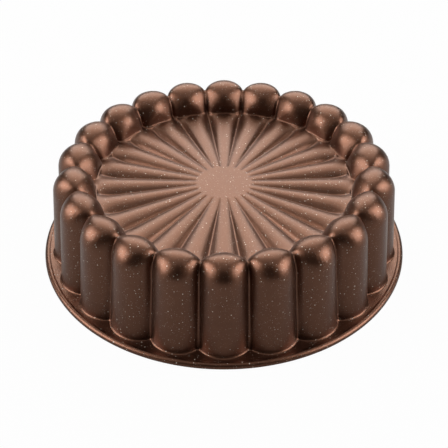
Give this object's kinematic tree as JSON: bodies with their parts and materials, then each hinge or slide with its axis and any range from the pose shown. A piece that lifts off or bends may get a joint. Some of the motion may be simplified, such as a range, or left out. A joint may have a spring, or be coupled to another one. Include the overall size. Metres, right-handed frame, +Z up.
{
  "type": "fluted cake pan",
  "caption": "Round cake pan with a ring of round-topped lobes around a sunken fluted floor, a beaded rim and a speckled bronze non-stick coat, standing upside down on its rim.",
  "frame": {"origin": "centre of the rim plane, on which the upside-down pan stands", "axes": "+Z up along the pan axis towards the closed crown, -Y through the middle of one lobe and of one flute"},
  "size_m": [0.2602, 0.2602, 0.0721],
  "materials": {
    "cast_metal": "as cast, satin",
    "outer_coat": "satin bronze-brown metallic coat with fine pale flecks",
    "inner_coat": "satin bronze-brown non-stick coat with fine pale flecks"
  },
  "bodies": {
    "root": {"cast_body": "cast_metal", "outer_coating": "outer_coat", "inner_coating": "inner_coat"}
  },
  "joints": []
}
